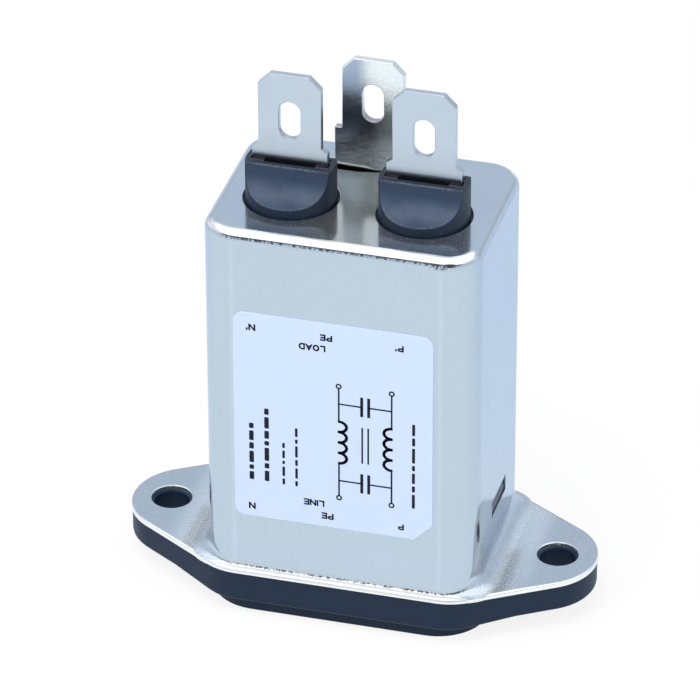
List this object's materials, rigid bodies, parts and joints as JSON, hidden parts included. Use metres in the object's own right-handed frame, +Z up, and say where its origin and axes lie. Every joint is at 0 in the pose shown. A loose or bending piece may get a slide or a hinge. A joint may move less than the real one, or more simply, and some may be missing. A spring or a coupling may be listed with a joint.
{
  "type": "emi line filter",
  "caption": "Appliance-inlet line filter in a drawn metal can with a diamond screw flange, black moulded inlet and flat blade terminals on top.",
  "frame": {"origin": "middle of the rim round the inlet socket, on the face that the part stands on", "axes": "+X from one screw hole to the other, -Y out of the labelled face, +Z up through the load terminals"},
  "size_m": [0.048, 0.022, 0.0569],
  "materials": {
    "can_metal": "bright nickel plating, finely drawn",
    "inlet_plastic": "fine matt moulding",
    "pin_metal": "nickel-plated brass",
    "bushing_plastic": "satin moulding",
    "tab_metal": "satin tin plating",
    "earth_metal": "tin plating with rolling lines",
    "label_film": "smooth printed film",
    "sleeve_film": "insulating film",
    "board_laminate": "glass laminate",
    "core_ferrite": "coated ferrite",
    "divider_plastic": "moulded",
    "winding_wire": "enamelled copper",
    "xcap_case": "cast box",
    "disc_coating": "dipped coating",
    "resistor_coating": "lacquer",
    "strap_metal": "plain brass strip",
    "solder_metal": "solder"
  },
  "bodies": {
    "root": {"filter_can": "can_metal", "inlet_body": "inlet_plastic", "line_pin": "pin_metal", "neutral_pin": "pin_metal", "earth_pin": "pin_metal", "line_bushing": "bushing_plastic", "neutral_bushing": "bushing_plastic", "line_tab": "tab_metal", "neutral_tab": "tab_metal", "earth_tab": "earth_metal", "label": "label_film", "insulating_sleeve": "sleeve_film", "circuit_board": "board_laminate", "choke_core": "core_ferrite", "choke_divider": "divider_plastic", "line_winding": "winding_wire", "neutral_winding": "winding_wire", "x_capacitor": "xcap_case", "line_y_capacitor": "disc_coating", "neutral_y_capacitor": "disc_coating", "bleed_resistor": "resistor_coating", "line_load_wire": "winding_wire", "neutral_load_wire": "winding_wire", "earth_strap": "strap_metal", "solder_joints": "solder_metal"}
  },
  "joints": []
}
